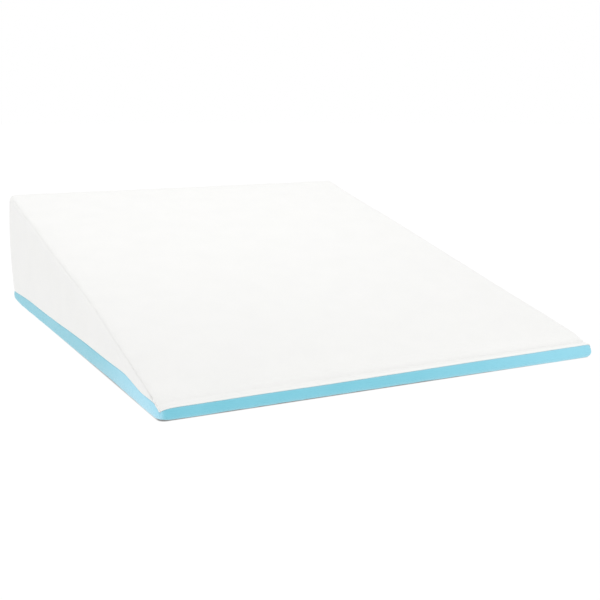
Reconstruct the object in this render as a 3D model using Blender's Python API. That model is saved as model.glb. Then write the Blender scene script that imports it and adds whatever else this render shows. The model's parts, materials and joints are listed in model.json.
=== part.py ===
"""Incline wedge mat: two layers of foam in a sewn two-tone cover that unzips along the back.

Metres, +Z up. The origin is on the floor under the middle of the mat. +X runs across the mat, its low
front end faces -Y and its high back faces +Y. Every sub-part is one object with its own material.
"""

import math

import bmesh
import bpy
from mathutils import Matrix, Vector

# The wedge, over its cover
WIDTH = 0.600
LENGTH = 0.720
HEIGHT = 0.176
LOW_END = 0.0145

# The cover
FABRIC = 0.002
GAP = 0.0003
BORDER_HEIGHT = 0.018
EDGE_RADIUS = 0.005
ARC_STEPS = 6

# The foam
COMFORT_FOAM = 0.025
FOAM_EASE = EDGE_RADIUS + 4 * GAP

# The zip, which lies in a window across the back face. Its depths are measured in from that face.
ZIP_LENGTH = 0.550
ZIP_HEIGHT = 0.0205
ZIP_WINDOW = 0.009
TAPE_WIDTH = 0.012
TAPE_THICKNESS = 0.0006
TAPE_PARTING = 0.0008
TAPE_OVERHANG = 0.010
TAPE_DEPTH = FABRIC + GAP
COIL_PARTING = 0.00015
COIL_HALF_WIDTH = 0.0023
COIL_DEPTHS = (0.0002, FABRIC)
COIL_CHAMFER = 0.0006
STOP_LENGTH = 0.0018
STOP_MARGIN = 0.001
STOP_DEPTHS = (0.0004, FABRIC)

# The slider and its pull. Heights are measured out from the back face.
SLIDER_LENGTH = 0.0084
SLIDER_NOSE_HALF = 0.0040
SLIDER_REAR_HALF = 0.0034
PLATE_THICKNESS = 0.0010
OUTER_PLATE = 0.0001
INNER_PLATE = -(TAPE_DEPTH + TAPE_THICKNESS + GAP + PLATE_THICKNESS)
FLANGE_WIDTH = 0.0007
FLANGE_FOOT = -0.0019
PLATE_CORNER = 0.0008
FLANGE_INSET = 0.0010
FLANGE_NOSE = 0.0014
POST_LENGTH = 0.0018
POST_HALF_WIDTH = 0.0005
BRIDGE_HALF_LENGTH = 0.0034
BRIDGE_HALF_WIDTH = 0.0008
BRIDGE_OPENING = 0.0018
BRIDGE_THICKNESS = 0.0007
BRIDGE_LEG = 0.0010
BRIDGE_SHOULDER = 0.0008
WELD = 0.0002
PULL_THICKNESS = 0.0010
PULL_LENGTH = 0.026
PULL_HALF_WIDTH = 0.0026
PULL_NECK_HALF = 0.0021
PULL_NECK_END = 0.0002
PULL_SHOULDER = 0.0006
PULL_END_STEPS = 8
PULL_EYE_HALF = 0.0012
PULL_EYE_REACH = 0.0042
PIN_HALF = 0.0005

# The space that the tapes and the slider press into the back of the foam
GROOVE_HEIGHTS = (0.0072, 0.0338)
GROOVE_DEPTH = 0.0056

# The care label, sewn into the right-hand corner seam of the back
LABEL_SIZE = (0.038, 0.0005, 0.028)
LABEL_HEIGHT = 0.062
LABEL_MARGIN = 0.002

# Colours: linear red, green and blue
WHITE = (0.88, 0.88, 0.86)
PALE_BLUE = (0.27, 0.62, 0.77)
FOAM_WHITE = (0.84, 0.83, 0.76)
FOAM_BLUE = (0.62, 0.74, 0.80)
ZIP_WHITE = (0.80, 0.80, 0.79)
ENAMEL = (0.78, 0.78, 0.77)
LABEL_WHITE = (0.85, 0.85, 0.84)

SLOPE = math.atan2(HEIGHT - LOW_END, LENGTH)
SLIDER_X = -ZIP_LENGTH / 2 + STOP_MARGIN + STOP_LENGTH + GAP + SLIDER_LENGTH / 2
COIL_START = SLIDER_X - SLIDER_LENGTH / 2 + 2 * GAP + POST_LENGTH
COIL_END = ZIP_LENGTH / 2 - STOP_MARGIN - STOP_LENGTH - GAP
PULL_HEIGHT = OUTER_PLATE + PLATE_THICKNESS + BRIDGE_OPENING / 2
X_AXIS, Y_AXIS, Z_AXIS = Vector((1, 0, 0)), Vector((0, 1, 0)), Vector((0, 0, 1))


def half_space(normal, point):
    """(normal, offset) of the points p with normal . p <= offset."""
    normal = Vector(normal).normalized()
    return normal, normal.dot(Vector(point))


FACES = {
    "top": half_space((0, -math.sin(SLOPE), math.cos(SLOPE)), (0, -LENGTH / 2, LOW_END)),
    "base": half_space(-Z_AXIS, (0, 0, 0)),
    "left": half_space(-X_AXIS, (-WIDTH / 2, 0, 0)),
    "right": half_space(X_AXIS, (WIDTH / 2, 0, 0)),
    "front": half_space(-Y_AXIS, (0, -LENGTH / 2, 0)),
    "back": half_space(Y_AXIS, (0, LENGTH / 2, 0)),
}


def inside(face, depth=0.0):
    """The points at least depth in from a face of the wedge."""
    normal, offset = FACES[face]
    return normal, offset - depth


def within(face, depth):
    """The points at most depth in from a face of the wedge."""
    normal, offset = FACES[face]
    return -normal, depth - offset


def mitre(face, other):
    """The points nearer to one face than to another, so that two plates meet along their shared edge."""
    normal, offset = FACES[face]
    other_normal, other_offset = FACES[other]
    between = other_normal - normal
    return between.normalized(), (other_offset - offset) / between.length - GAP / 2


def eased(face, other):
    """The points that clear the cover's rounded edge between two faces."""
    normal, offset = FACES[face]
    other_normal, other_offset = FACES[other]
    both = normal + other_normal
    return both.normalized(), (offset + other_offset - FOAM_EASE) / both.length


def over(height):
    return half_space(-Z_AXIS, (0, 0, height))


def under(height):
    return half_space(Z_AXIS, (0, 0, height))


def material(name, colour, roughness, metallic=0.0):
    made = bpy.data.materials.new(name)
    made.use_nodes = True
    shader = made.node_tree.nodes["Principled BSDF"]
    shader.inputs["Base Color"].default_value = (*colour, 1.0)
    shader.inputs["Roughness"].default_value = roughness
    shader.inputs["Metallic"].default_value = metallic
    return made


def add_object(name, shape, colour, roughness=0.9, metallic=0.0):
    """Makes the bmesh shape an object with a material of its own."""
    bmesh.ops.recalc_face_normals(shape, faces=shape.faces)
    mesh = bpy.data.meshes.new(name)
    shape.to_mesh(mesh)
    shape.free()
    mesh.materials.append(material(name, colour, roughness, metallic))
    made = bpy.data.objects.new(name, mesh)
    bpy.context.scene.collection.objects.link(made)
    return made


def block(low, high):
    """A box between two opposite corners, as a bmesh."""
    low, high = Vector(low), Vector(high)
    shape = bmesh.new()
    size = Matrix.Diagonal((*(high - low), 1.0))
    bmesh.ops.create_cube(shape, size=1.0, matrix=Matrix.Translation((low + high) / 2) @ size)
    return shape


def extruded(outline, direction):
    """A prism on a closed outline of 3-D points, as a bmesh."""
    shape = bmesh.new()
    end = shape.faces.new([shape.verts.new(point) for point in outline])
    grown = bmesh.ops.extrude_face_region(shape, geom=[end], use_keep_orig=True)
    moved = [item for item in grown["geom"] if isinstance(item, bmesh.types.BMVert)]
    bmesh.ops.translate(shape, verts=moved, vec=direction)
    return shape


def cut(shape, planes):
    """Keeps what lies in every half-space, and closes each cut."""
    for normal, offset in planes:
        whole = shape.verts[:] + shape.edges[:] + shape.faces[:]
        section = bmesh.ops.bisect_plane(
            shape, geom=whole, dist=1e-7, plane_co=normal * offset, plane_no=normal, clear_outer=True
        )
        rim = [item for item in section["geom_cut"] if isinstance(item, bmesh.types.BMEdge)]
        if rim:
            bmesh.ops.edgeloop_fill(shape, edges=rim)
    return shape


def wedge_piece(planes):
    """A convex piece of the wedge, as a bmesh."""
    return cut(block((-WIDTH, -LENGTH, -HEIGHT), (WIDTH, LENGTH, 2 * HEIGHT)), planes)


def at_back(x, out, height):
    """A point by its distance out from the back face."""
    return Vector((x, LENGTH / 2 + out, height))


def back_block(xs, outs, heights):
    return block(at_back(xs[0], outs[0], heights[0]), at_back(xs[1], outs[1], heights[1]))


def boolean(base, operation, tool):
    """Adds a Boolean whose tool stays in the scene as a hidden helper."""
    tool.hide_render = True
    tool.display_type = "WIRE"
    modifier = base.modifiers.new(tool.name, "BOOLEAN")
    modifier.operation = operation
    modifier.solver = "EXACT"
    modifier.object = tool


def panel(face, neighbours, *limits):
    """A plate of cloth on one face of the wedge, mitred against its neighbours."""
    planes = [inside(face), within(face, FABRIC)]
    planes += [mitre(face, neighbour) for neighbour in neighbours]
    return wedge_piece(planes + list(limits))


def make_white_panels():
    add_object("top_panel", panel("top", ("left", "right", "front", "back")), WHITE)
    over_border = over(BORDER_HEIGHT + GAP)
    for side in ("left", "right"):
        add_object(side + "_side_panel", panel(side, ("top", "back"), over_border), WHITE)
    over_zip = over(ZIP_HEIGHT + ZIP_WINDOW / 2)
    add_object("back_panel", panel("back", ("top", "left", "right"), over_zip), WHITE)


def border_section():
    """Points (depth, height) of a border strip: upright at its top, and turned under the mat at its foot."""
    quarter = [math.pi / 2 * step / ARC_STEPS for step in range(ARC_STEPS + 1)]
    inner = EDGE_RADIUS - FABRIC
    points = [(0.0, HEIGHT)]
    points += [(EDGE_RADIUS * (1 - math.cos(a)), EDGE_RADIUS * (1 - math.sin(a))) for a in quarter]
    points += [(EDGE_RADIUS - inner * math.cos(a), EDGE_RADIUS - inner * math.sin(a)) for a in quarter[::-1]]
    points += [(FABRIC, HEIGHT)]
    return points


def border(face, neighbours, *limits):
    """A strip of cloth round the foot of one face, mitred against its neighbours."""
    normal, offset = FACES[face]
    along = normal.cross(Z_AXIS) * LENGTH
    outline = [normal * (offset - depth) + Z_AXIS * height - along for depth, height in border_section()]
    planes = [mitre(face, neighbour) for neighbour in neighbours]
    return cut(extruded(outline, along * 2), planes + list(limits))


def make_coloured_cover():
    border_top = under(BORDER_HEIGHT)
    add_object("front_border", border("front", ("left", "right", "top")), PALE_BLUE)
    for side in ("left", "right"):
        shape = border(side, ("front", "back", "top"), border_top)
        add_object(side + "_border", shape, PALE_BLUE)
    under_zip = under(ZIP_HEIGHT - ZIP_WINDOW / 2)
    add_object("back_border", border("back", ("left", "right"), under_zip), PALE_BLUE)
    planes = [inside("base"), within("base", FABRIC)]
    planes += [inside(face, EDGE_RADIUS + GAP) for face in ("left", "right", "front", "back")]
    add_object("base_panel", wedge_piece(planes), PALE_BLUE)


def make_foam():
    lining = FABRIC + GAP
    walls = [inside(face, lining) for face in ("left", "right", "front", "back", "base")]
    walls += [eased(face, "base") for face in ("left", "right", "front", "back")]
    comfort = wedge_piece([inside("top", lining), within("top", lining + COMFORT_FOAM)] + walls)
    add_object("comfort_foam", comfort, FOAM_BLUE)
    support = wedge_piece([inside("top", lining + COMFORT_FOAM + GAP)] + walls)
    support = add_object("support_foam", support, FOAM_WHITE)
    groove = back_block((-WIDTH, WIDTH), (-GROOVE_DEPTH, GAP), GROOVE_HEIGHTS)
    boolean(support, "DIFFERENCE", add_object("zip_groove_cutter", groove, FOAM_WHITE))


def make_zip_rows():
    """The two tapes, and the row of coiled teeth on each."""
    tape_end = ZIP_LENGTH / 2 + TAPE_OVERHANG
    for name, sign in (("upper", 1), ("lower", -1)):
        heights = sorted(ZIP_HEIGHT + sign * away for away in (TAPE_PARTING, TAPE_PARTING + TAPE_WIDTH))
        depths = (-TAPE_DEPTH - TAPE_THICKNESS, -TAPE_DEPTH)
        tape = back_block((-tape_end, tape_end), depths, heights)
        add_object(name + "_zip_tape", tape, ZIP_WHITE)
        near, far = COIL_PARTING, COIL_HALF_WIDTH
        front, back = COIL_DEPTHS
        section = [
            (near, back),
            (far - COIL_CHAMFER, back),
            (far, back - COIL_CHAMFER),
            (far, front + COIL_CHAMFER),
            (far - COIL_CHAMFER, front),
            (near, front),
        ]
        outline = [at_back(COIL_START, -depth, ZIP_HEIGHT + sign * away) for away, depth in section]
        coil = extruded(outline, X_AXIS * (COIL_END - COIL_START))
        add_object(name + "_zip_coil", coil, ZIP_WHITE, 0.45)


def make_zip_stops():
    front, back = STOP_DEPTHS
    outs = (-back, -front)
    closed_end = -ZIP_LENGTH / 2 + STOP_MARGIN
    open_end = ZIP_LENGTH / 2 - STOP_MARGIN
    for name, sign in (("upper", 1), ("lower", -1)):
        heights = sorted(ZIP_HEIGHT + sign * away for away in (TAPE_PARTING, COIL_HALF_WIDTH))
        stop = back_block((closed_end, closed_end + STOP_LENGTH), outs, heights)
        add_object(name + "_top_stop", stop, ENAMEL, 0.4)
    heights = (ZIP_HEIGHT - COIL_HALF_WIDTH, ZIP_HEIGHT + COIL_HALF_WIDTH)
    stop = back_block((open_end - STOP_LENGTH, open_end), outs, heights)
    add_object("bottom_stop", stop, ENAMEL, 0.4)


def make_end_tabs():
    """The two patches that close the zip's window between its ends and the corners."""
    heights = (
        over(ZIP_HEIGHT - ZIP_WINDOW / 2 + GAP),
        under(ZIP_HEIGHT + ZIP_WINDOW / 2 - GAP),
    )
    for side, sign in (("left", -1), ("right", 1)):
        zip_end = half_space(-sign * X_AXIS, (sign * (ZIP_LENGTH / 2 + GAP), 0, 0))
        add_object(side + "_zip_tab", panel("back", (side,), zip_end, *heights), WHITE)


def slider_plate(out):
    """The slider's outline, wide at its nose and narrow at its rear, as one plate."""
    nose, rear = -SLIDER_LENGTH / 2, SLIDER_LENGTH / 2
    corner = PLATE_CORNER
    half = [
        (nose, SLIDER_NOSE_HALF - corner),
        (nose + corner, SLIDER_NOSE_HALF),
        (nose + 3 * corner, SLIDER_NOSE_HALF),
        (corner, SLIDER_REAR_HALF),
        (rear - corner, SLIDER_REAR_HALF),
        (rear, SLIDER_REAR_HALF - corner),
    ]
    whole = half + [(x, -away) for x, away in half[::-1]]
    return extruded(
        [at_back(SLIDER_X + x, out, ZIP_HEIGHT + away) for x, away in whole], Y_AXIS * PLATE_THICKNESS
    )


def slider_flange(sign):
    """One wall under the outer plate, beside the rows of teeth."""
    nose, rear = FLANGE_INSET - SLIDER_LENGTH / 2, SLIDER_LENGTH / 2 - FLANGE_INSET
    outline = [
        (nose, SLIDER_NOSE_HALF - WELD),
        (nose + FLANGE_NOSE, SLIDER_NOSE_HALF - WELD),
        (FLANGE_INSET, SLIDER_REAR_HALF - WELD / 2),
        (rear, SLIDER_REAR_HALF - WELD / 2),
        (rear, SLIDER_REAR_HALF - FLANGE_WIDTH),
        (FLANGE_INSET, SLIDER_REAR_HALF - FLANGE_WIDTH),
        (nose + FLANGE_NOSE, SLIDER_NOSE_HALF - FLANGE_WIDTH),
        (nose, SLIDER_NOSE_HALF - FLANGE_WIDTH),
    ]
    points = [at_back(SLIDER_X + x, FLANGE_FOOT, ZIP_HEIGHT + sign * away) for x, away in outline]
    return extruded(points, Y_AXIS * (OUTER_PLATE + WELD - FLANGE_FOOT))


def slider_bridge():
    """The arch over the outer plate, which holds the pull."""
    foot = OUTER_PLATE + PLATE_THICKNESS
    crown = foot + BRIDGE_OPENING + BRIDGE_THICKNESS
    outer, inner = BRIDGE_HALF_LENGTH, BRIDGE_HALF_LENGTH - BRIDGE_LEG
    outline = [
        (-outer, foot - WELD),
        (-outer, crown - BRIDGE_SHOULDER),
        (BRIDGE_SHOULDER - outer, crown),
        (outer - BRIDGE_SHOULDER, crown),
        (outer, crown - BRIDGE_SHOULDER),
        (outer, foot - WELD),
        (inner, foot - WELD),
        (inner, foot + BRIDGE_OPENING),
        (-inner, foot + BRIDGE_OPENING),
        (-inner, foot - WELD),
    ]
    points = [at_back(SLIDER_X + x, out, ZIP_HEIGHT - BRIDGE_HALF_WIDTH) for x, out in outline]
    return extruded(points, Z_AXIS * 2 * BRIDGE_HALF_WIDTH)


def set_origin(item, place):
    """Moves an object's origin, and keeps its shape where it is."""
    item.data.transform(Matrix.Translation(-place))
    item.location = place


def make_slider():
    slider = add_object("zip_slider", slider_plate(OUTER_PLATE), ENAMEL, 0.35, 0.3)
    nose = SLIDER_X - SLIDER_LENGTH / 2
    post = back_block(
        (nose + GAP, nose + GAP + POST_LENGTH),
        (INNER_PLATE + PLATE_THICKNESS - WELD, OUTER_PLATE + WELD),
        (ZIP_HEIGHT - POST_HALF_WIDTH, ZIP_HEIGHT + POST_HALF_WIDTH),
    )
    pieces = {
        "slider_inner_plate": slider_plate(INNER_PLATE),
        "slider_post": post,
        "slider_upper_flange": slider_flange(1),
        "slider_lower_flange": slider_flange(-1),
        "slider_bridge": slider_bridge(),
    }
    for name, shape in pieces.items():
        boolean(slider, "UNION", add_object(name, shape, ENAMEL))


def pull_outline():
    """Points (x, height) of the pull about its hinge: a narrow neck, then a plate with a round end."""
    neck_end = PULL_EYE_REACH + PULL_NECK_END
    plate_start = neck_end + PULL_SHOULDER
    round_centre = PULL_LENGTH - PULL_HALF_WIDTH
    half = [(-PIN_HALF, PULL_NECK_HALF), (neck_end, PULL_NECK_HALF), (plate_start, PULL_HALF_WIDTH)]
    turn = [math.pi / 2 * (1 - step / PULL_END_STEPS) for step in range(PULL_END_STEPS)]
    half += [(round_centre + PULL_HALF_WIDTH * math.cos(a), PULL_HALF_WIDTH * math.sin(a)) for a in turn]
    return half + [(PULL_LENGTH, 0.0)] + [(x, -height) for x, height in half[::-1]]


def make_pull():
    """The pull, lying flat over the closed teeth. Its eye goes round the slider's bridge."""
    low = PULL_HEIGHT - PULL_THICKNESS / 2
    points = [at_back(SLIDER_X + x, low, ZIP_HEIGHT + height) for x, height in pull_outline()]
    pull = add_object("zip_pull", extruded(points, Y_AXIS * PULL_THICKNESS), ENAMEL, 0.35, 0.3)
    eye = back_block(
        (SLIDER_X + PIN_HALF, SLIDER_X + PULL_EYE_REACH),
        (low - GAP, low + PULL_THICKNESS + GAP),
        (ZIP_HEIGHT - PULL_EYE_HALF, ZIP_HEIGHT + PULL_EYE_HALF),
    )
    boolean(pull, "DIFFERENCE", add_object("pull_eye_cutter", eye, ENAMEL))
    set_origin(pull, at_back(SLIDER_X, PULL_HEIGHT, ZIP_HEIGHT))


def make_label():
    width, thickness, height = LABEL_SIZE
    outer_end = WIDTH / 2 - LABEL_MARGIN
    label = back_block(
        (outer_end - width, outer_end), (GAP, GAP + thickness), (LABEL_HEIGHT, LABEL_HEIGHT + height)
    )
    add_object("care_label", label, LABEL_WHITE, 0.6)


def main():
    for item in list(bpy.data.objects):
        bpy.data.objects.remove(item)
    make_foam()
    make_white_panels()
    make_coloured_cover()
    make_zip_rows()
    make_zip_stops()
    make_end_tabs()
    make_slider()
    make_pull()
    make_label()


main()
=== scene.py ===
"""Looks of the incline wedge mat: a white cover with a light-blue border, sewn over foam and closed by a zip.

Metres, in the CAD model's frame: +X across the mat, its low front end at -Y, its high back at +Y, +Z up.
The cover starts as a sharp wedge. Every point of it is placed on a rounded wedge, moved as the pressure and
the fullness of the foam move the cloth, and rolled in at the seams, so panels that share an edge always meet.
"""

import json
import math

import bmesh
import bpy
import numpy as np
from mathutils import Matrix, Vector, noise
from mathutils.bvhtree import BVHTree
from mathutils.kdtree import KDTree

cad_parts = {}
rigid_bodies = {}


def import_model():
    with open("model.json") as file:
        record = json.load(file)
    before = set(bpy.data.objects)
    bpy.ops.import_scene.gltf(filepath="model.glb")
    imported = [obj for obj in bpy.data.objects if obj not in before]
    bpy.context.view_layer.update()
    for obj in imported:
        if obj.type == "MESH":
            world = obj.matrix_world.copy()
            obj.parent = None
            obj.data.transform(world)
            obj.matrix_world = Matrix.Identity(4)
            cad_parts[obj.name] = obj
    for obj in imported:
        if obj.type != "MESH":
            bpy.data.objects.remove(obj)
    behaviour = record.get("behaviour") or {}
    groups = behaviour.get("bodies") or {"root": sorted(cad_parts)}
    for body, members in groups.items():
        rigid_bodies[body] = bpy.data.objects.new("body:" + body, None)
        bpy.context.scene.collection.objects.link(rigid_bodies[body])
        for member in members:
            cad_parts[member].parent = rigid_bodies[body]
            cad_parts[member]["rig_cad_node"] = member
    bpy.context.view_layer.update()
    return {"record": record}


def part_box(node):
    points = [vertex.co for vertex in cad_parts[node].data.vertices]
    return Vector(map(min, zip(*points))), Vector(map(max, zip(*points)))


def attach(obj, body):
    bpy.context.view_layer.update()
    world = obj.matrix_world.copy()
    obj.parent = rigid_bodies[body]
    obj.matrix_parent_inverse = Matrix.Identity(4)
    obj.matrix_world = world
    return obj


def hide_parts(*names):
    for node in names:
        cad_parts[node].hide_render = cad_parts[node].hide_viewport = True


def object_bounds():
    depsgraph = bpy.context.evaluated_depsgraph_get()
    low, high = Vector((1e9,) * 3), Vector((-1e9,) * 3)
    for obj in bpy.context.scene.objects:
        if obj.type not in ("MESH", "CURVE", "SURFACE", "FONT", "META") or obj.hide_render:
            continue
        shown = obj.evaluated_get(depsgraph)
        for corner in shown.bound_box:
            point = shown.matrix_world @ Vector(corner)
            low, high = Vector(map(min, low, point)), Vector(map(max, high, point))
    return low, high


for item in list(bpy.data.objects):
    bpy.data.objects.remove(item)
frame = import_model()

# The wedge, from the CAD model
INCLINE = next(mount for mount in frame["record"]["mounts"] if mount["name"] == "incline_face")
RISE = -INCLINE["axis"][1] / INCLINE["axis"][2]
LEFT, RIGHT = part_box("left_border")[0].x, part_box("right_border")[1].x
FRONT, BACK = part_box("front_border")[0].y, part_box("back_border")[1].y
WIDTH, LENGTH = RIGHT - LEFT, BACK - FRONT
MIDDLE_HEIGHT = INCLINE["pos_m"][2]
LOW_END, HEIGHT = MIDDLE_HEIGHT + RISE * FRONT, MIDDLE_HEIGHT + RISE * BACK
INCLINE_LENGTH = math.hypot(LENGTH, HEIGHT - LOW_END)
BASE_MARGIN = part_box("base_panel")[0].x - LEFT
WINDOW_FOOT, WINDOW_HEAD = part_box("back_border")[1].z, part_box("back_panel")[0].z
ZIP_LEFT, ZIP_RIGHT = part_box("left_zip_tab")[1].x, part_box("right_zip_tab")[0].x

# The cover's form
CLOTH = 0.0009
BOTTOM_RADIUS, CORNER_RADIUS = 0.0042, 0.0080
SLANT_RADIUS, BACK_RADIUS, FRONT_RADIUS = 0.0092, 0.0055, 0.0040
WIDEST_RADIUS = max(BOTTOM_RADIUS, SLANT_RADIUS, BACK_RADIUS, FRONT_RADIUS, CORNER_RADIUS)
ARC_FACETS = 15
SEAM_ROLL, SLANT_ROLL, FLUSH_ROLL = 0.0008, 0.00015, 0.00012
SEAM_GAP = 0.00004
SEAM_LIPS = (0.0006, 0.0013, 0.0022)
HEM_LIPS = (0.0002, 0.0005, 0.0008)
PUCKER, PUCKER_REACH, PUCKER_SCALE, PUCKER_SEED = 0.00022, 0.003, 0.0085, 20

# The panels' grids: points round a seam's roll, by angle, then steps that grow up to the full one. Seams are
# shrunk where they would fill more than MOST_SEAM_SHARE of a line. The line ROWS_TO_INNER in from an edge
# shows which way its panel lies.
ROLL_ANGLES = (90, 65, 45, 25, 0)
GRID_STEP, FIRST_STEP, STEP_GROWTH = 0.0040, 0.6 * SEAM_ROLL, 1.45
MOST_SEAM_SHARE = 0.42
ROWS_TO_INNER = 6

# The line between the white sides and the border: its height, then each change in it, with the distances from
# the front over which the change comes in. WINDOW_FALL is how far past the zip's ends its window falls to it.
SEAM_HEIGHT = 0.0175
SEAM_CHANGES = ((0.0078, 0.045, 0.125), (-0.0066, 0.26, 0.62), (-0.0030, 0.60, 0.715), (-0.0046, 0.014, 0))
SEAM_WANDER, SEAM_WANDER_SCALE, SEAM_STEADY_END = 0.0005, 0.045, 0.03
WANDER_VALUES, WANDER_START = 4096, 2000
WINDOW_FALL = (0.002, 0.022)

# The zip, its stitching and the foam
COIL_PITCH, COIL_WIRE, COIL_OVERLAP = 0.0013, 0.00030, 1.06
COIL_STEPS, COIL_FACETS = 14, 6
TAPE_GRID, TAPE_THICKNESS, TAPE_DROP = (191, 25), 0.0004, 0.00012
TAPE_EDGE, TAPE_EDGE_AT, TAPE_EDGE_REACH = 0.00010, 0.0008, 0.0005
TAPE_WAVE, TAPE_WAVE_SCALE, TAPE_WAVE_SEED = 0.00005, 0.02, 31
METAL_EDGE = 0.00015
EDGE_FACETS, LEAST_EDGE_ANGLE = 3, 25
THREAD, STITCH_PITCH, STITCH_INSET = 0.00022, 0.0028, 0.0030
STITCH_FACETS, STITCH_ENDS, STITCH_LIFT = 5, 0.06, (-0.8, 0.25, 0.6, 0.25, -0.8)
STITCH_ROW_POINTS, STITCH_END_POINTS = 200, 20
FOAM_EDGE, FOAM_DEPTH = 0.004, 0.0024
FOAM_CUTS = np.arange(FRONT + 0.06, BACK - 0.1, 0.04)

# The label: how it stands off the back at its sewn and free ends, and its ripple
LABEL_GRID, LABEL_THICKNESS = (41, 25), 0.0002
LABEL_STAND, LABEL_CURL, LABEL_CURL_POWER, LABEL_LEAN = 0.0003, 0.0032, 1.8, 0.3
LABEL_RIPPLE, LABEL_RIPPLE_RUN, LABEL_RIPPLE_RISE = 0.00035, 9, 2.2

# The pressure of the foam on the cover, and how far from its edges the cloth is held still meanwhile
VOXEL = 0.008
CLOTH_FRAMES = 18
FOAM_HOLD, FOAM_HOLD_CHANGE, FOAM_HOLD_SCALE = 0.15, 0.35, 0.09
ZIP_HOLD, FRONT_HOLD, CORNER_HOLD, BACK_TOP_HOLD = 0.006, 0.02, 0.014, 0.02
MOST_SWELL = 0.0045
SWELL_BLUR, SWELL_NEIGHBOURS = 0.006, 12

# How the filled cover sits off the even wedge. Pairs are where a change starts and where it is complete.
# The top is full, most towards the front and less at its left, and the left edge is drawn in.
TOP_FULL, TOP_FULL_FALL = 0.0054, 0.005
TOP_FULL_FRONT, TOP_FULL_BACK = (-0.004, 0.034), (0.68, 0.50)
LEFT_EASE, LEFT_EASE_ALONG = 0.45, (0.12, 0.02)
EDGE_DRAW, EDGE_DRAW_AT, EDGE_DRAW_REACH = 0.0045, 0.28, 0.12
EDGE_DRAW_WIDTH, EDGE_DRAW_FOOT = 0.12, 0.2
LEAST_SIDE = 0.0005
# The borders bulge, and at the floor they spread or draw in. FACE_DEPTH is how near a face its points lie.
FACE_DEPTH = 0.004
FRONT_BULGE, SIDE_BULGE, BULGE_START = 0.0020, 0.0012, (-0.01, 0.03)
FRONT_SPREAD, FRONT_SPREAD_DEPTH = 0.0035, 0.03
RIGHT_TUCK, RIGHT_TUCK_WIDTH, RIGHT_TUCK_LENGTH = 0.0028, 0.03, 0.06
RIM_SPREAD, RIM_SPREAD_FRONT, RIM_SPREAD_BACK = 0.0020, (0.35, 0.66), (0.715, 0.66)
RIM_DRAW, RIM_DRAW_AT, RIM_DRAW_REACH = 0.0012, 0.18, 0.10
RIM_HEIGHT, RIM_WIDTH = 0.016, 0.03
# The front seam runs uphill, wanders and dips at the left corner.
FRONT_TILT, FRONT_TILT_REACH, FRONT_TILT_MARGIN = 0.0036, 0.012, 0.1
FRONT_WANDER, FRONT_WANDER_SCALE, FRONT_WANDER_SEED = 0.0004, 0.09, 5
CORNER_DIP, CORNER_DIP_REACH = 0.0016, 0.011
# The bottom corners lift, the back corners are full, and the top has long shallow waves.
CORNER_LIFT, CORNER_LIFT_REACH, CORNER_LIFT_HEIGHT = 0.0034, 0.008, 0.012
BACK_BULGE, BACK_BULGE_REACH, BACK_BULGE_POWER = 0.0050, 0.03, 0.8
BACK_BULGE_ASIDE, BACK_BULGE_BACK = 0.8, 0.35
TOP_WAVES, TOP_WAVE_WIDTH, TOP_WAVE_LENGTH, TOP_WAVE_START = 0.0006, 0.13, 0.11, 0.08

# Where the knit is paler, partly as it is stretched thin and partly as painted sheen: round the front left
# corner, and less towards the right one
PALE_LEFT_ALONG, PALE_LEFT_ASIDE = (0.26, 0.02), (0.008, 0.002)
PALE_RIGHT, PALE_RIGHT_ASIDE, PALE_RIGHT_ALONG = 0.38, (-0.32, -0.02), 0.2

# Colours: linear red, green and blue
WHITE_DARK, WHITE_LIGHT = (0.862, 0.861, 0.847), (0.876, 0.874, 0.860)
BLUE_DARK, BLUE_LIGHT = (0.196, 0.575, 0.700), (0.218, 0.598, 0.727)
# The blue where the knit is paler at the front corners: stretched knit, brightened further as painted sheen
BLUE_STRETCH_AND_SHEEN = (0.39, 0.75, 0.91)
WALE, COURSE = 0.0013, 0.0010
KNIT_SLANT, KNIT_BELLY = 0.7, 0.65
TAPE_TWILL, SATIN_RIBS = (9000.0, 7000.0), 16000.0

# The studio, and the camera where the photographer stood
SKY = 1.0
FLOOR_RADIUS, FLOOR_DROP, FLOOR_GLOW, FLOOR_SHADE = 9.0, 0.0003, 1.0, 0.02
# A painted contact shadow: how dim the floor glows under the mat, how far in from its rim, and how its
# corners round
CONTACT_SHADOW_GLOW, UNDER_INSET, UNDER_RISE, UNDER_CORNER = 0.25, 0.0042, 0.0028, 0.011
OVERHEAD_POWER, FILL_POWER = 0.90, 0.45
CAMERA_PLACE = (-0.6317, -1.3407, 0.3446)
CAMERA_DOWN, CAMERA_TURN = 11.71, 26.97
CAMERA_LENS, CAMERA_SENSOR = 61.16, 36


def smooth(value, low, high):
    """0 below low, 1 above high and an even rise between, also for high below low."""
    share = np.clip((value - low) / (high - low), 0, 1)
    return share * share * (3 - 2 * share)


def bell(distance, reach):
    """1 at no distance, falling to nearly 0 at twice the reach."""
    return np.exp(-((distance / reach) ** 2))


def wander(along, scale, seed):
    """A smooth random line from -1 to 1, with a new value each scale of the way along."""
    values = np.random.default_rng(seed).uniform(-1, 1, WANDER_VALUES)
    place = np.asarray(along) / scale + WANDER_START
    step = np.floor(place).astype(int)
    share = smooth(place - step, 0, 1)
    return values[step] * (1 - share) + values[step + 1] * share


def top_height(y):
    return MIDDLE_HEIGHT + RISE * y


def side_seam_height(y, seed=1):
    """The height of the seam between the white side and the coloured border, a sewn line that wanders."""
    far = y - FRONT
    line = SEAM_HEIGHT
    for change, start, end in SEAM_CHANGES:
        line = line + change * smooth(far, start, end)
    steady = smooth(far, 0, SEAM_STEADY_END) * smooth(far, LENGTH, LENGTH - SEAM_STEADY_END)
    return line + SEAM_WANDER * wander(y, SEAM_WANDER_SCALE, seed) * steady


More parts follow.
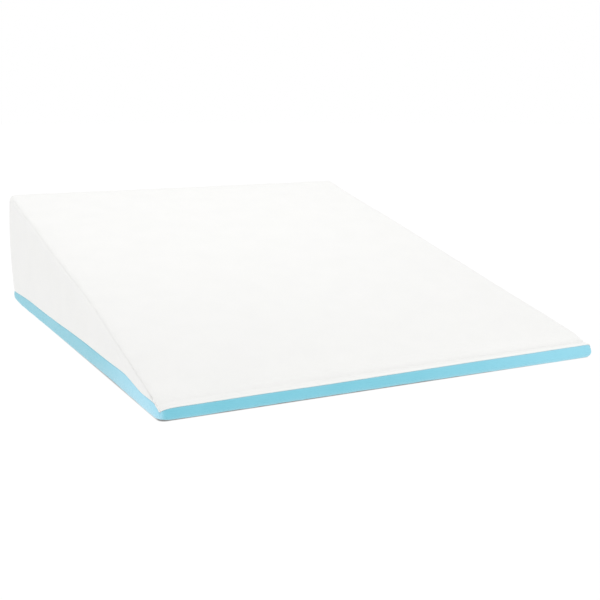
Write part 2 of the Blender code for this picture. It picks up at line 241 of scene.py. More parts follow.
def window_foot(x):
    """The height of the back border's top edge, which drops to the side seams past the ends of the zip."""
    past = np.maximum(x - ZIP_RIGHT, ZIP_LEFT - x)
    return WINDOW_FOOT - (WINDOW_FOOT - side_seam_height(BACK)) * smooth(past, *WINDOW_FALL)


# ---------------------------------------------------------------------------------------- the rounded body


def add_object(name, data):
    made = bpy.data.objects.new(name, data)
    bpy.context.scene.collection.objects.link(made)
    return made


def evaluated(body):
    return bpy.data.meshes.new_from_object(body.evaluated_get(bpy.context.evaluated_depsgraph_get()))


def thicken(piece, thickness, offset):
    solid = piece.modifiers.new("thickness", "SOLIDIFY")
    solid.thickness = thickness
    solid.offset = offset


def mesh_points(mesh):
    points = np.zeros(len(mesh.vertices) * 3)
    mesh.vertices.foreach_get("co", points)
    return points.reshape(-1, 3)


def rounded_wedge():
    """The foam and cover as one body with round edges, as a mesh."""
    corners = []
    for y, top in ((FRONT, LOW_END), (BACK, HEIGHT)):
        corners += [(LEFT, y, 0), (RIGHT, y, 0), (RIGHT, y, top), (LEFT, y, top)]
    shape = bmesh.new()
    points = [shape.verts.new(corner) for corner in corners]
    for ring in ((0, 1, 2, 3), (7, 6, 5, 4), (0, 4, 5, 1), (1, 5, 6, 2), (2, 6, 7, 3), (3, 7, 4, 0)):
        shape.faces.new([points[k] for k in ring])
    bmesh.ops.recalc_face_normals(shape, faces=shape.faces)
    weight = shape.edges.layers.float.new("bevel_weight_edge")
    for edge in shape.edges:
        first, second = (point.co for point in edge.verts)
        if first.z == second.z == 0:
            radius = BOTTOM_RADIUS
        elif first.y != second.y:
            radius = SLANT_RADIUS
        elif first.x == second.x:
            radius = CORNER_RADIUS
        else:
            radius = BACK_RADIUS if first.y == BACK else FRONT_RADIUS
        edge[weight] = radius / WIDEST_RADIUS
    mesh = bpy.data.meshes.new("rounded_wedge")
    shape.to_mesh(mesh)
    shape.free()
    body = add_object("rounded_wedge", mesh)
    bevel = body.modifiers.new("round_edges", "BEVEL")
    bevel.limit_method = "WEIGHT"
    bevel.width = WIDEST_RADIUS
    bevel.segments = ARC_FACETS
    rounded = evaluated(body)
    bpy.data.objects.remove(body)
    return rounded


def swelling(rounded):
    """Runs the body as a cloth bag under pressure. Returns where its points lay and how far each moved."""
    skin = add_object("cover_cloth_coarse", rounded)
    even = skin.modifiers.new("even_mesh", "REMESH")
    even.mode = "VOXEL"
    even.voxel_size = VOXEL
    bag = add_object("cover_cloth", evaluated(skin))
    bpy.data.objects.remove(skin)
    rest = mesh_points(bag.data)
    x, y, z = rest.T
    in_zip_band = (y > BACK - WIDEST_RADIUS) & (z < WINDOW_HEAD + ZIP_HOLD)
    at_corner = (np.minimum(x - LEFT, RIGHT - x) < CORNER_HOLD) & (y > BACK - CORNER_HOLD)
    at_back_top = at_corner & (z > HEIGHT - BACK_TOP_HOLD)
    held = (z < WIDEST_RADIUS) | (y < FRONT + FRONT_HOLD) | in_zip_band | at_back_top
    hold = bag.vertex_groups.new(name="hold")
    for index, point in enumerate(rest):
        grip = FOAM_HOLD * (1 + FOAM_HOLD_CHANGE * noise.noise(Vector(point) / FOAM_HOLD_SCALE))
        hold.add([index], 1.0 if held[index] else grip, "REPLACE")
    cloth = bag.modifiers.new("cloth", "CLOTH")
    cloth.settings.vertex_group_mass = "hold"
    cloth.settings.quality = 4
    cloth.settings.mass = 0.4
    cloth.settings.tension_stiffness = 30
    cloth.settings.compression_stiffness = 30
    cloth.settings.shear_stiffness = 10
    cloth.settings.bending_stiffness = 2
    cloth.settings.use_pressure = True
    cloth.settings.uniform_pressure_force = 4
    cloth.settings.effector_weights.gravity = 0
    cloth.collision_settings.use_collision = False
    cloth.point_cache.frame_end = CLOTH_FRAMES
    for number in range(1, CLOTH_FRAMES + 1):
        bpy.context.scene.frame_set(number)
    move = mesh_points(evaluated(bag)) - rest
    bpy.context.scene.frame_set(1)
    bpy.data.objects.remove(bag)
    size = np.linalg.norm(move, axis=1, keepdims=True) + 1e-9
    return rest, move / size * MOST_SWELL * np.tanh(size / MOST_SWELL)


ROUNDED = rounded_wedge()
SKIN = BVHTree.FromPolygons([v.co for v in ROUNDED.vertices], [list(p.vertices) for p in ROUNDED.polygons])
SWELL_PLACES, SWELL_MOVES = swelling(ROUNDED)
SWELL_TREE = KDTree(len(SWELL_PLACES))
for number, point in enumerate(SWELL_PLACES):
    SWELL_TREE.insert(point, number)
SWELL_TREE.balance()


def filled(points):
    """How far the foam moves each point: up where the top is full, and in at the left edge."""
    x, y, z = points.T
    far, top, seam = y - FRONT, top_height(y), side_seam_height(y)
    full = (TOP_FULL - TOP_FULL_FALL * far) * smooth(far, *TOP_FULL_FRONT) * smooth(far, *TOP_FULL_BACK)
    full = full * (1 - LEFT_EASE * smooth(x, 0, LEFT) * smooth(far, *LEFT_EASE_ALONG))
    drawn = EDGE_DRAW * bell(far - EDGE_DRAW_AT, EDGE_DRAW_REACH) * smooth(x - LEFT, EDGE_DRAW_WIDTH, 0)
    move = np.zeros_like(points)
    move[:, 0] = drawn * np.clip((z / top - EDGE_DRAW_FOOT) / (1 - EDGE_DRAW_FOOT), 0, 1) ** 2
    move[:, 2] = full * np.clip((z - seam) / np.maximum(top - seam, LEAST_SIDE), 0, 1)
    return move


def sits_off(points):
    """How far each point of the sharp wedge sits off the even form, as it is filled and sewn."""
    x, y, z = points.T
    side, far, inset = np.sign(x), y - FRONT, np.minimum(x - LEFT, RIGHT - x)
    move = filled(points)

    tilt = FRONT_TILT * smooth(x, LEFT - FRONT_TILT_MARGIN, RIGHT + FRONT_TILT_MARGIN)
    tilt = tilt + FRONT_WANDER * wander(x, FRONT_WANDER_SCALE, FRONT_WANDER_SEED)
    tilt = tilt - CORNER_DIP * bell(x - LEFT, CORNER_DIP_REACH)
    move[:, 2] += tilt * bell(np.abs(far) + np.abs(z - LOW_END), FRONT_TILT_REACH)

    side_belly = np.sin(np.pi * np.clip(z / side_seam_height(y), 0, 1)) * smooth(inset, FACE_DEPTH, 0)
    move[:, 0] += side * SIDE_BULGE * side_belly * smooth(far, *BULGE_START)
    front_belly = np.sin(np.pi * np.clip(z / LOW_END, 0, 1)) * smooth(far, FACE_DEPTH, 0)
    move[:, 1] -= FRONT_BULGE * front_belly * smooth(inset, *BULGE_START)

    spread = smooth(x, 0, RIGHT) * smooth(z, LOW_END, 0) * smooth(far, FRONT_SPREAD_DEPTH, 0)
    move[:, 1] -= FRONT_SPREAD * spread
    move[:, 0] -= RIGHT_TUCK * smooth(x, RIGHT - RIGHT_TUCK_WIDTH, RIGHT) * smooth(far, RIGHT_TUCK_LENGTH, 0)
    rim = RIM_SPREAD * smooth(far, *RIM_SPREAD_FRONT) * smooth(far, *RIM_SPREAD_BACK)
    rim = rim - RIM_DRAW * bell(far - RIM_DRAW_AT, RIM_DRAW_REACH)
    move[:, 0] += side * rim * smooth(z, RIM_HEIGHT, 0) * smooth(inset, RIM_WIDTH, 0)

    full = BACK_BULGE * bell(np.hypot(inset, BACK - y), BACK_BULGE_REACH)
    full = full * np.sin(np.pi * np.clip(z / HEIGHT, 0, 1)) ** BACK_BULGE_POWER
    move[:, 0] += side * full * BACK_BULGE_ASIDE
    move[:, 1] += full * BACK_BULGE_BACK
    from_corner = np.hypot(inset, np.minimum(far, BACK - y))
    move[:, 2] += CORNER_LIFT * bell(from_corner, CORNER_LIFT_REACH) * smooth(z, CORNER_LIFT_HEIGHT, 0)

    on_top = smooth(z - top_height(y), -FACE_DEPTH, 0) * smooth(far, 0, TOP_WAVE_START)
    waves = [noise.noise(Vector((a / TOP_WAVE_WIDTH, b / TOP_WAVE_LENGTH, 0))) for a, b in zip(x, y)]
    move[:, 2] += TOP_WAVES * np.array(waves) * on_top
    return move


def settle(points):
    """Where points of the sharp wedge lie on the filled cover, and the outward direction there."""
    places, outward, swell = (np.zeros_like(points) for _ in range(3))
    for number, point in enumerate(points):
        place, normal, _, _ = SKIN.find_nearest(point)
        places[number], outward[number] = place, normal
        near = SWELL_TREE.find_n(place, SWELL_NEIGHBOURS)
        share = bell(np.array([distance for _, _, distance in near]), SWELL_BLUR) + 1e-9
        swell[number] = share @ SWELL_MOVES[[index for _, index, _ in near]] / share.sum()
    return places + swell + sits_off(points), outward


# ---------------------------------------------------------------------------------------- cloth panels


def seam_steps():
    """Distances in from a seam: close together round its roll, then growing to the grid's step."""
    steps = list(SEAM_ROLL * (1 - np.sin(np.radians(ROLL_ANGLES))))
    step = FIRST_STEP
    while step < GRID_STEP:
        steps.append(steps[-1] + step)
        step *= STEP_GROWTH
    return np.array(steps)


def grid_lines(lengths):
    """Distances along grid lines of the given lengths, as rows, and how much each line's seams are shrunk."""
    steps = seam_steps()
    room = np.minimum(1, MOST_SEAM_SHARE * lengths / steps[-1])[:, None]
    first, last = steps * room, lengths[:, None] - steps[::-1] * room
    count = max(2, round((lengths.max() - 2 * steps[-1]) / GRID_STEP))
    share = np.linspace(0, 1, count + 1)[1:-1]
    return np.hstack([first, first[:, -1:] + (last[:, :1] - first[:, -1:]) * share, last]), room


def stretch_and_sheen_at_corners(points):
    """How pale the knit is made towards the mat's front corners, from 0 to 1: partly pulled thin there,
    partly painted sheen.
    """
    x, y, _ = points.T
    far = y - FRONT
    on_left = smooth(far, *PALE_LEFT_ALONG) * smooth(x - LEFT, *PALE_LEFT_ASIDE)
    on_right = smooth(x - RIGHT, *PALE_RIGHT_ASIDE) * smooth(far, PALE_RIGHT_ALONG, 0)
    return on_left + PALE_RIGHT * on_right


def quad_mesh(name, points, pattern):
    """A mesh of a grid of points, with the place of each on the flat pattern as the UV map "weave"."""
    rows, columns = points.shape[:2]
    index = np.arange(rows * columns).reshape(rows, columns)
    quads = np.stack([index[:-1, :-1], index[1:, :-1], index[1:, 1:], index[:-1, 1:]], axis=-1).reshape(-1, 4)
    mesh = bpy.data.meshes.new(name)
    mesh.from_pydata(points.reshape(-1, 3).tolist(), [], quads.tolist())
    weave = mesh.uv_layers.new(name="weave")
    weave.data.foreach_set("uv", pattern.reshape(-1, 2)[quads.ravel()].ravel())
    # How pale the knit is made towards the front corners: partly stretched knit, partly painted sheen
    pale = mesh.attributes.new("stretched", "FLOAT", "POINT")
    pale.data.foreach_set("value", stretch_and_sheen_at_corners(points.reshape(-1, 3)))
    mesh.shade_smooth()
    return mesh


def unit(vectors):
    return vectors / (np.linalg.norm(vectors, axis=-1, keepdims=True) + 1e-12)


def edge_directions(places, outward):
    """The ways into the mat and towards a panel's middle, at its near, far, start and end edges in turn."""
    directions = []
    for axis in (0, 1):
        for line, inner in ((0, ROWS_TO_INNER), (-1, -1 - ROWS_TO_INNER)):
            inward = -outward.take([line], axis)
            aside = places.take([inner], axis) - places.take([line], axis)
            aside = unit(aside - (aside * inward).sum(-1, keepdims=True) * inward)
            directions.append([np.broadcast_to(part, places.shape) for part in (inward, aside)])
    return directions


def panel(node, length, reach, shape, hems=(), **rolls):
    """Makes a cloth panel that stands for a CAD node.

    length is the panel's first side. reach(along) is its depth at each place along that side, and
    shape(along, across) the point on the sharp wedge. All four edges roll in and carry on as turned-in lips,
    which are shallow at the edges named in hems: "near" and "far" along it, "start" and "end" across it.
    rolls gives the roll of any edge that is tighter than most.
    """
    along, along_room = grid_lines(np.array([length]))
    along = along[0]
    lines, reached = along, reach(along) * np.ones_like(along)
    across, across_room = grid_lines(reached)
    along_grid = np.repeat(along[:, None], across.shape[1], axis=1)
    sharp = np.stack(np.broadcast_arrays(*shape(along_grid, across)), axis=-1)
    places, outward = (found.reshape(sharp.shape) for found in settle(sharp.reshape(-1, 3)))

    edges = edge_directions(places, outward)

    # The grid grows by the lips, whose points start at the panel's edge
    count = len(SEAM_LIPS)
    grow = np.ix_(*(np.pad(np.arange(size), count, mode="edge") for size in across.shape))
    near, far, start, end = (
        np.array(HEM_LIPS if edge in hems else SEAM_LIPS) for edge in ("near", "far", "start", "end")
    )
    past = np.zeros((2, 2, grow[0].size, grow[1].size))
    past[0, 0, :count] = near[::-1, None]
    past[0, 1, -count:] = far[:, None]
    past[1, 0, :, :count] = start[::-1]
    past[1, 1, :, -count:] = end
    along_grid, across, places, outward = (part[grow] for part in (along_grid, across, places, outward))
    depth = np.broadcast_to(reached[grow[0].ravel()][:, None], across.shape)
    radii = {edge: rolls.get(edge, SEAM_ROLL) for edge in ("near", "far", "start", "end")}
    room = across_room[grow[0].ravel()]
    distances = (
        (along_grid - past[0, 0], radii["near"] * along_room, across),
        (length - along_grid - past[0, 1], radii["far"] * along_room, across),
        (across - past[1, 0], radii["start"] * room, along_grid),
        (depth - across - past[1, 1], radii["end"] * room, along_grid),
    )
    roll, deepest = np.zeros_like(places), np.zeros(across.shape)
    shift = np.zeros_like(places)
    for number, ((inward, aside), (distance, radius, beside)) in enumerate(zip(edges, distances)):
        inward, aside = inward[grow], aside[grow]
        within = np.clip(radius - distance, 0, radius)
        drop = radius - np.sqrt(radius**2 - within**2) - np.minimum(distance, 0)
        roll += inward * drop[..., None]
        deepest = np.maximum(deepest, drop)
        shift += aside * (SEAM_GAP * np.exp(-np.maximum(distance, 0) / radius))[..., None]
        share = np.maximum(distance, 0) / PUCKER_REACH
        gathers = wander(beside, PUCKER_SCALE, PUCKER_SEED + number) * share * np.exp(1 - share)
        shift += outward * (PUCKER * gathers)[..., None]
    places = places + unit(roll) * deepest[..., None] + shift

    pattern = np.stack([along_grid - past[0, 0] + past[0, 1], across - past[1, 0] + past[1, 1]], axis=-1)
    rows, columns = (size // 2 for size in across.shape)
    turn = np.cross(
        places[rows + 1, columns] - places[rows, columns], places[rows, columns + 1] - places[rows, columns]
    )
    if turn @ outward[rows, columns] < 0:
        places, pattern = places[::-1], pattern[::-1]
    cloth = add_object(node + "_cloth", quad_mesh(node + "_cloth", places, pattern))
    thicken(cloth, CLOTH, -1)
    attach(cloth, "mat")
    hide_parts(node)


def border_panel(node, length, seam_height, place):
    """Makes a border that falls from its seam to the floor and turns in under the mat, mitred at its ends.

    seam_height(along) is the height of its top edge, and place(along, under) gives x and y, for points
    that far along the side and that far in under the mat.
    """

    def shape(along, across):
        height = seam_height(along) * np.ones_like(across)
        under = np.maximum(across - height, 0)
        x, y = place(under + along * (1 - 2 * under / length), under)
        return x, y, np.maximum(height - across, 0)

    def reach(along):
        return seam_height(along) + BASE_MARGIN

    panel(node, length, reach, shape, near=FLUSH_ROLL, far=FLUSH_ROLL)


def build_cover():
    panel(
        "top_panel", WIDTH, lambda along: INCLINE_LENGTH,
        lambda along, across: (
            LEFT + along,
            FRONT + across * LENGTH / INCLINE_LENGTH,
            top_height(FRONT + across * LENGTH / INCLINE_LENGTH),
        ),
        near=SLANT_ROLL, far=SLANT_ROLL,
    )
    for side, x, seed in (("left", LEFT, 1), ("right", RIGHT, 2)):
        panel(
            side + "_side_panel", LENGTH,
            lambda along, seed=seed: top_height(FRONT + along) - side_seam_height(FRONT + along, seed),
            lambda along, across, x=x, seed=seed: (
                x, FRONT + along, side_seam_height(FRONT + along, seed) + across
            ),
            end=SLANT_ROLL,
        )
        inward = -np.sign(x)
        border_panel(
            side + "_border", LENGTH, lambda along, seed=seed: side_seam_height(FRONT + along, seed),
            lambda along, under, x=x, inward=inward: (x + inward * under, FRONT + along),
        )
        tab_end = ZIP_LEFT if side == "left" else ZIP_RIGHT
        panel(
            side + "_zip_tab", abs(x - tab_end),
            lambda along, x=x, inward=inward: WINDOW_HEAD - window_foot(x + inward * along),
            lambda along, across, x=x, inward=inward: (
                x + inward * along, BACK, window_foot(x + inward * along) + across
            ),
            hems=("far", "start", "end"),
        )
    panel(
        "back_panel", WIDTH, lambda along: HEIGHT - WINDOW_HEAD,
        lambda along, across: (LEFT + along, BACK, WINDOW_HEAD + across),
        hems=("start",),
    )
    border_panel(
        "back_border", WIDTH, lambda along: window_foot(LEFT + along),
        lambda along, under: (LEFT + along, BACK - under),
    )
    border_panel(
        "front_border", WIDTH, lambda along: LOW_END,
        lambda along, under: (LEFT + along, FRONT + under),
    )
    panel(
        "base_panel", WIDTH - 2 * BASE_MARGIN, lambda along: LENGTH - 2 * BASE_MARGIN,
        lambda along, across: (LEFT + BASE_MARGIN + along, FRONT + BASE_MARGIN + across, 0),
    )


# ---------------------------------------------------------------------------------------- foam


def cad_copy(node, name, edge, cuts=()):
    """A copy of a CAD node's mesh with its edges rounded, and cut across at places along Y so it can bend."""
    shape = bmesh.new()
    shape.from_mesh(bpy.data.objects[node].data)
    bmesh.ops.remove_doubles(shape, verts=shape.verts, dist=1e-6)
    bmesh.ops.dissolve_limit(shape, angle_limit=math.radians(1), verts=shape.verts, edges=shape.edges)
    for y in cuts:
        parts = [*shape.verts, *shape.edges, *shape.faces]
        bmesh.ops.bisect_plane(shape, geom=parts, plane_co=(0, y, 0), plane_no=(0, 1, 0))
    mesh = bpy.data.meshes.new(name)
    shape.to_mesh(mesh)
    shape.free()
    mesh.shade_smooth()
    made = add_object(name, mesh)
    made.matrix_world = bpy.data.objects[node].matrix_world
    bevel = made.modifiers.new("rounded_edges", "BEVEL")
    bevel.limit_method = "ANGLE"
    bevel.angle_limit = math.radians(LEAST_EDGE_ANGLE)
    bevel.width = edge
    bevel.segments = EDGE_FACETS
    bevel.harden_normals = True
    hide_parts(node)
    return made


def build_foam():
    """The two layers, their edges rounded, kept a little way in from the cover, and full as it is."""
    for node in ("comfort_foam", "support_foam"):
        block = cad_copy(node, node + "_block", FOAM_EDGE, cuts=FOAM_CUTS)
        block.data = evaluated(block)
        block.modifiers.clear()
        for point in block.data.vertices:
            place, normal, _, _ = SKIN.find_nearest(point.co)
            depth = (place - point.co) @ normal
            point.co -= normal * max(0, FOAM_DEPTH - depth)
            point.co += Vector(filled(np.array([point.co]))[0])
        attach(block, "mat")


# ---------------------------------------------------------------------------------------- the zip


def tube(points, radius, facets):
    """The points and faces of a tube along a path, with closed ends."""
    ahead = unit(np.gradient(points, axis=0))
    across = unit(np.cross(ahead, np.array((0.0, 1.0, 0.001))))
    upward = np.cross(across, ahead)
    turn = np.linspace(0, 2 * math.pi, facets, endpoint=False)
    ring = np.cos(turn)[None, :, None] * across[:, None] + np.sin(turn)[None, :, None] * upward[:, None]
    skin = (points[:, None] + radius * ring).reshape(-1, 3)
    faces = []
    for row in range(len(points) - 1):
        for k in range(facets):
            a, b = row * facets + k, row * facets + (k + 1) % facets
            faces.append((a, b, b + facets, a + facets))
    last = (len(points) - 1) * facets
    faces += [tuple(range(facets))[::-1], tuple(range(last, last + facets))]
    return skin, faces


def from_parts(name, parts):
    """One mesh of several (points, faces) parts."""
    points, faces, count = [], [], 0
    for skin, rings in parts:
        points.append(skin)
        faces += [tuple(k + count for k in ring) for ring in rings]
        count += len(skin)
    mesh = bpy.data.meshes.new(name)
    mesh.from_pydata(np.vstack(points).tolist(), [], faces)
    mesh.shade_smooth()
    return add_object(name, mesh)


def build_coils():
    """Two nylon coils whose turns alternate. Each turn reaches just past the middle of the zip."""
    for side, start in (("upper", 0.0), ("lower", 0.5)):
        node = side + "_zip_coil"
        low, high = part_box(node)
        middle = (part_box("upper_zip_coil")[0].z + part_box("lower_zip_coil")[1].z) / 2
        turns = int((high.x - low.x) / COIL_PITCH) - 1
        angle = np.linspace(0, 2 * math.pi * turns, turns * COIL_STEPS + 1)
        outer = high.z if side == "upper" else low.z
        reach = (middle - outer) * COIL_OVERLAP / 2
        x = low.x + COIL_WIRE + COIL_PITCH * (angle / (2 * math.pi) + start)
        y = (low.y + high.y) / 2 + ((high.y - low.y) / 2 - COIL_WIRE) * np.sin(angle)
        z = outer + reach - np.cos(angle) * (reach - COIL_WIRE * np.sign(reach))
        coil = from_parts(node + "_wire", [tube(np.stack([x, y, z], axis=-1), COIL_WIRE, COIL_FACETS)])
        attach(coil, "mat")
        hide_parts(node)


def build_tapes():
    """Two woven tapes, each with a thicker woven edge."""
    for side in ("upper", "lower"):
        node = side + "_zip_tape"
        low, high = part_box(node)
        along = np.linspace(low.x, high.x, TAPE_GRID[0])
        across = np.linspace(low.z, high.z, TAPE_GRID[1])
        x, z = np.meshgrid(along, across, indexing="ij")
        inset = np.minimum(z - low.z, high.z - z)
        depth = TAPE_EDGE * bell(inset - TAPE_EDGE_AT, TAPE_EDGE_REACH)
        depth = depth + TAPE_WAVE * wander(x, TAPE_WAVE_SCALE, TAPE_WAVE_SEED)
        points = np.stack([x, high.y - TAPE_DROP + depth, z], axis=-1)
        pattern = np.stack([x - low.x, z - low.z], axis=-1)
        tape = add_object(node + "_band", quad_mesh(node + "_band", points, pattern))
        thicken(tape, TAPE_THICKNESS, 1)
        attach(tape, "mat")
        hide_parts(node)


def build_metal():
    for node, body in (
        ("upper_top_stop", "mat"), ("lower_top_stop", "mat"), ("bottom_stop", "mat"),
        ("zip_slider", "slider"), ("zip_pull", "pull"),
    ):
        piece = cad_copy(node, node + "_form", METAL_EDGE)
        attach(piece, body)


def build_topstitch():
    """Lockstitch round the zip window. Each stitch is a short thread that dips in at both ends."""
    x = np.linspace(ZIP_LEFT - STITCH_INSET, ZIP_RIGHT + STITCH_INSET, STITCH_ROW_POINTS)
    heights = np.linspace(WINDOW_FOOT - STITCH_INSET, WINDOW_HEAD + STITCH_INSET, STITCH_END_POINTS)
    rows = [[(a, BACK, height) for a in x] for height in (heights[0], heights[-1])]
    rows += [[(a, BACK, height) for height in heights] for a in (x[0], x[-1])]
    lift = np.array(STITCH_LIFT)[:, None] * THREAD
    stitch = np.linspace(STITCH_ENDS, 1 - STITCH_ENDS, len(STITCH_LIFT)) * STITCH_PITCH
    parts = []
    for row in rows:
        places, outward = settle(np.array(row))
        run = np.concatenate([[0], np.cumsum(np.linalg.norm(np.diff(places, axis=0), axis=1))])
        for start in np.arange(0, run[-1] - STITCH_PITCH, STITCH_PITCH):
            middle, out = (
                np.stack([np.interp(start + stitch, run, part[:, k]) for k in range(3)], axis=-1)
                for part in (places, outward)
            )
            parts.append(tube(middle + out * lift, THREAD, STITCH_FACETS))
    thread = from_parts("zip_topstitch", parts)
    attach(thread, "mat")


# ---------------------------------------------------------------------------------------- the label


def build_label():
    """A blank satin label, sewn into the corner seam, that stands off the back towards its free end."""
    low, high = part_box("care_label")
    length, height = RIGHT - low.x, high.z - low.z
    across, up = np.linspace(0, length, LABEL_GRID[0]), np.linspace(0, height, LABEL_GRID[1])
    run, rise = np.meshgrid(across, up, indexing="ij")
    share = run / length
    sharp = np.stack([RIGHT - run, BACK * np.ones_like(run), low.z + rise], axis=-1)
    places, outward = (part.reshape(sharp.shape) for part in settle(sharp.reshape(-1, 3)))
    lean = 1 - LABEL_LEAN * (1 - np.cos(math.pi * rise / height))
    ripple = np.sin(LABEL_RIPPLE_RUN * share + LABEL_RIPPLE_RISE * rise / height) * share
    curl = LABEL_STAND + LABEL_CURL * share**LABEL_CURL_POWER * lean + LABEL_RIPPLE * ripple
    places = places + outward * curl[..., None]
    pattern = np.stack([run, rise], axis=-1)
    label = add_object("care_label_satin", quad_mesh("care_label_satin", places, pattern))
    thicken(label, LABEL_THICKNESS, 0)
    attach(label, "mat")
    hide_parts("care_label")


# ---------------------------------------------------------------------------------------- materials


class Finish:
    """A material, its Principled shader and short ways to add nodes."""

    def __init__(self, name, **settings):
        self.material = bpy.data.materials.new(name)
        self.material.use_nodes = True
        self.nodes, self.links = self.material.node_tree.nodes, self.material.node_tree.links
        self.shader = self.nodes["Principled BSDF"]
        for socket, value in settings.items():
            self.shader.inputs[socket.replace("_", " ")].default_value = value

    def add(self, kind, **inputs):
        node = self.nodes.new("ShaderNode" + kind)
        for socket, value in inputs.items():
            self.feed(node.inputs[socket.replace("_", " ")], value)
        return node

    def feed(self, socket, value):
        if isinstance(value, bpy.types.NodeSocket):
            self.links.new(value, socket)
        else:
            socket.default_value = value

    def calc(self, operation, first, second=0.0, third=0.0):
        node = self.nodes.new("ShaderNodeMath")
        node.operation = operation
        for socket, value in zip(node.inputs, (first, second, third)):
            self.feed(socket, value)
        return node.outputs[0]

    def where(self, scale):
        """Noise on the object's own coordinates, with features about 1 / scale metres wide."""
        coordinates = self.add("TexCoord").outputs["Object"]
        return self.add("TexNoise", Vector=coordinates, Scale=scale, Detail=3.0).outputs["Fac"]

    def on_weave(self):
        """The place on the flat pattern, along and across it."""
        weave = self.nodes.new("ShaderNodeUVMap")
        weave.uv_map = "weave"
        place = self.add("SeparateXYZ", Vector=weave.outputs["UV"])
        return place.outputs["X"], place.outputs["Y"]

    def ramp(self, value, start, end, low=0.0, high=1.0):
        """Takes the range from start to end to the one from low to high."""
        numbers = {"From_Min": start, "From_Max": end, "To_Min": low, "To_Max": high}
        return self.add("MapRange", Value=value, **numbers).outputs["Result"]

    def clouds(self, scale):
        """Noise with its usual range, 0.3 to 0.7, taken to 0 to 1."""
        return self.ramp(self.where(scale), 0.3, 0.7)

    def tint(self, share, dark, light):
        """Mixes two colours, each three numbers or another mix, as the base colour."""
        node = self.nodes.new("ShaderNodeMix")
        node.data_type = "RGBA"
        factor, first, second = (
            next(socket for socket in node.inputs if socket.identifier == name)
            for name in ("Factor_Float", "A_Color", "B_Color")
        )
        self.feed(factor, share)
        for socket, colour in ((first, dark), (second, light)):
            self.feed(socket, (*colour, 1) if isinstance(colour, tuple) else colour)
        mixed = next(socket for socket in node.outputs if socket.identifier == "Result_Color")
        self.links.new(mixed, self.shader.inputs["Base Color"])
        return mixed

    def bump(self, height, distance, strength, under=None):
        node = self.add("Bump", Height=height, Distance=distance, Strength=strength)
        if under:
            self.links.new(under.outputs["Normal"], node.inputs["Normal"])
        self.links.new(node.outputs["Normal"], self.shader.inputs["Normal"])
        return node

    def knit_height(self, wale, course):
        """Jersey stitches: columns of small arms that meet in a V."""
        along, across = self.on_weave()
        column = self.calc("FRACT", self.calc("DIVIDE", along, wale))
        side = self.calc("ABSOLUTE", self.calc("MULTIPLY_ADD", column, 2.0, -1.0))
        row = self.calc("MULTIPLY_ADD", side, -KNIT_SLANT, self.calc("DIVIDE", across, course))
        arm = self.calc("SINE", self.calc("MULTIPLY", self.calc("FRACT", row), math.pi))
        belly = self.calc("SINE", self.calc("MULTIPLY", side, math.pi))
        return self.calc("MULTIPLY", arm, self.calc("MULTIPLY_ADD", belly, KNIT_BELLY, 1 - KNIT_BELLY))


def grained(name, dark, light, clouds, grain, distance, strength, **settings):
    """A material of two near colours in soft clouds, with a fine even grain."""
    made = Finish(name, **settings)
    made.tint(made.clouds(clouds), dark, light)
    made.bump(made.where(grain), distance, strength)
    return made.material


def knit(name, dark, light, stretched, **settings):
    made = Finish(name, Roughness=0.88, **settings)
    plain = made.tint(made.clouds(26), dark, light)
    # Mixes in a paler colour towards the front corners: partly stretched knit, partly painted sheen
    pale = made.add("Attribute")
    pale.attribute_name = "stretched"
    made.tint(pale.outputs["Fac"], plain, stretched)
    soft = made.bump(made.where(900), distance=0.00008, strength=0.35)
    made.bump(made.knit_height(WALE, COURSE), distance=0.00012, strength=0.55, under=soft)
    return made.material


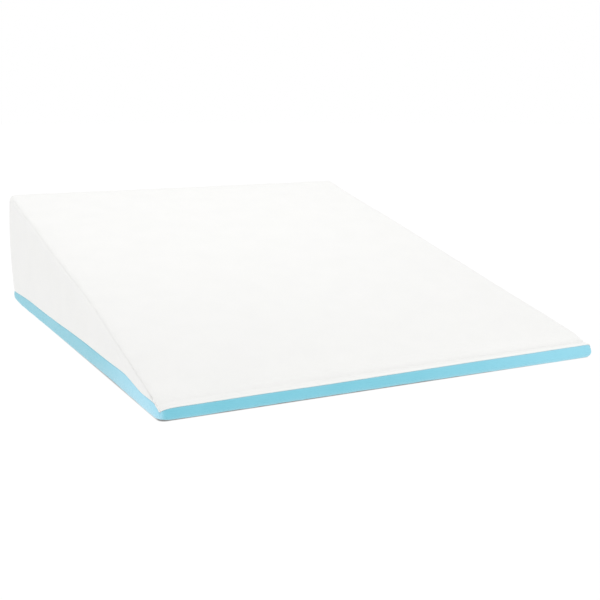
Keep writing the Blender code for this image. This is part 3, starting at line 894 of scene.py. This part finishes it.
def build_materials():
    white = knit(
        "white_knit_cloth", WHITE_DARK, WHITE_LIGHT, WHITE_LIGHT, Sheen_Weight=0.25, Sheen_Roughness=0.5
    )
    blue = knit(
        "blue_knit_cloth", BLUE_DARK, BLUE_LIGHT, BLUE_STRETCH_AND_SHEEN, Sheen_Weight=0.38, Sheen_Roughness=0.5
    )

    foams = []
    for name, dark, light in (
        ("comfort_foam_cells", (0.55, 0.68, 0.75), (0.64, 0.76, 0.82)),
        ("support_foam_cells", (0.80, 0.78, 0.68), (0.88, 0.86, 0.77)),
    ):
        foam = Finish(name, Roughness=0.95)
        coordinates = foam.add("TexCoord").outputs["Object"]
        cells = foam.add("TexVoronoi", Vector=coordinates, Scale=900.0).outputs["Distance"]
        foam.tint(foam.clouds(60), dark, light)
        foam.bump(cells, distance=0.0006, strength=0.8)
        foams.append(foam.material)

    tape = Finish("woven_tape", Roughness=0.75, Sheen_Weight=0.15)
    along, across = tape.on_weave()
    slant = tape.calc("MULTIPLY_ADD", along, TAPE_TWILL[0], tape.calc("MULTIPLY", across, TAPE_TWILL[1]))
    tape.tint(tape.clouds(120), (0.77, 0.77, 0.76), (0.84, 0.84, 0.83))
    tape.bump(tape.calc("SINE", slant), distance=0.00006, strength=0.6)

    nylon = grained(
        "coil_nylon", (0.80, 0.80, 0.79), (0.87, 0.87, 0.86), clouds=400, grain=2500, distance=0.00002,
        strength=0.4, Roughness=0.32, IOR=1.53, Subsurface_Weight=0.1, Subsurface_Scale=0.0005,
    )
    enamel = grained(
        "white_enamel", (0.74, 0.74, 0.73), (0.83, 0.83, 0.82), clouds=150, grain=900, distance=0.00003,
        strength=0.3, Roughness=0.30, IOR=1.5, Coat_Weight=0.5, Coat_Roughness=0.12,
    )
    thread = grained(
        "sewing_thread", (0.82, 0.82, 0.81), (0.90, 0.90, 0.89), clouds=300, grain=6000, distance=0.00005,
        strength=0.5, Roughness=0.6, Sheen_Weight=0.2,
    )

    satin = Finish("label_satin", Roughness=0.38, Sheen_Weight=0.2)
    ribs = satin.calc("SINE", satin.calc("MULTIPLY", satin.on_weave()[0], SATIN_RIBS))
    satin.tint(satin.clouds(90), (0.86, 0.86, 0.85), (0.92, 0.92, 0.91))
    satin.bump(ribs, distance=0.00003, strength=0.5)

    finishes = {
        "_border_cloth": blue, "base_panel_cloth": blue, "_cloth": white,
        "comfort_foam_block": foams[0], "support_foam_block": foams[1], "_band": tape.material,
        "_wire": nylon, "_form": enamel, "zip_topstitch": thread,
        "_satin": satin.material,
    }
    for piece in bpy.data.objects:
        if piece.type == "MESH" and "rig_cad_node" not in piece:
            ending = next(end for end in finishes if piece.name.endswith(end))
            piece.data.materials.clear()
            piece.data.materials.append(finishes[ending])


# ---------------------------------------------------------------------------------------- the stage


def lit_floor():
    """A matt white that gives off light, as a lit studio sweep does, but less under the mat: a painted
    contact shadow, which also dims the light thrown up onto the border's lower rim.
    """
    made = Finish("pale_floor", Roughness=1.0, Specular_IOR_Level=0.0)
    made.shader.inputs["Base Color"].default_value = (FLOOR_SHADE, FLOOR_SHADE, FLOOR_SHADE, 1)
    made.shader.inputs["Emission Color"].default_value = (1, 1, 1, 1)
    place = made.add("SeparateXYZ", Vector=made.add("TexCoord").outputs["Object"])
    aside = made.calc("SUBTRACT", made.calc("ABSOLUTE", place.outputs["X"]), WIDTH / 2)
    ahead = made.calc("SUBTRACT", made.calc("ABSOLUTE", place.outputs["Y"]), LENGTH / 2)
    near = [made.calc("MAXIMUM", made.calc("ADD", past, UNDER_CORNER), 0.0) for past in (aside, ahead)]
    square = made.calc("ADD", *(made.calc("MULTIPLY", reach, reach) for reach in near))
    past_rim = made.calc("SUBTRACT", made.calc("POWER", square, 0.5), UNDER_CORNER)
    # The painted contact shadow: the glow falls off under the mat's rim
    glow = made.ramp(past_rim, -UNDER_INSET, UNDER_RISE - UNDER_INSET, CONTACT_SHADOW_GLOW, FLOOR_GLOW)
    made.feed(made.shader.inputs["Emission Strength"], glow)
    return made.material


def area_light(name, place, target, size, power, spread=180):
    data = bpy.data.lights.new(name, "AREA")
    data.shape = "DISK"
    data.spread = math.radians(spread)
    data.size = size
    data.energy = power
    light = add_object(name, data)
    light.location = place
    light.rotation_euler = (Vector(target) - Vector(place)).to_track_quat("-Z", "Y").to_euler()


def build_stage():
    shape = bmesh.new()
    bmesh.ops.create_circle(shape, cap_ends=True, segments=96, radius=FLOOR_RADIUS)
    mesh = bpy.data.meshes.new("floor")
    shape.to_mesh(mesh)
    shape.free()
    floor = add_object("floor", mesh)
    floor.location.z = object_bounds()[0][2] - FLOOR_DROP
    mesh.materials.append(lit_floor())

    sky = bpy.data.worlds.new("studio")
    sky.use_nodes = True
    sky.node_tree.nodes["Background"].inputs["Color"].default_value = (1, 1, 1, 1)
    sky.node_tree.nodes["Background"].inputs["Strength"].default_value = SKY
    bpy.context.scene.world = sky
    area_light(
        "overhead", place=(-0.01, 0.12, 0.9), target=(-0.15, 0.8, 0.1), size=1.2,
        power=OVERHEAD_POWER, spread=148,
    )
    area_light("front_fill", place=(0.35, -0.95, 0.3), target=(RIGHT, FRONT, 0), size=0.4, power=FILL_POWER)
    bpy.context.scene.view_settings.view_transform = "Standard"


def build_camera():
    lens = bpy.data.cameras.new("photo_view")
    lens.lens = CAMERA_LENS
    lens.sensor_width = CAMERA_SENSOR
    camera = add_object("photo_view", lens)
    camera.location = CAMERA_PLACE
    camera.rotation_euler = tuple(math.radians(angle) for angle in (90 - CAMERA_DOWN, 0, -CAMERA_TURN))
    bpy.context.scene.camera = camera


build_cover()
build_foam()
build_coils()
build_tapes()
build_metal()
build_topstitch()
build_label()
build_materials()
build_stage()
build_camera()
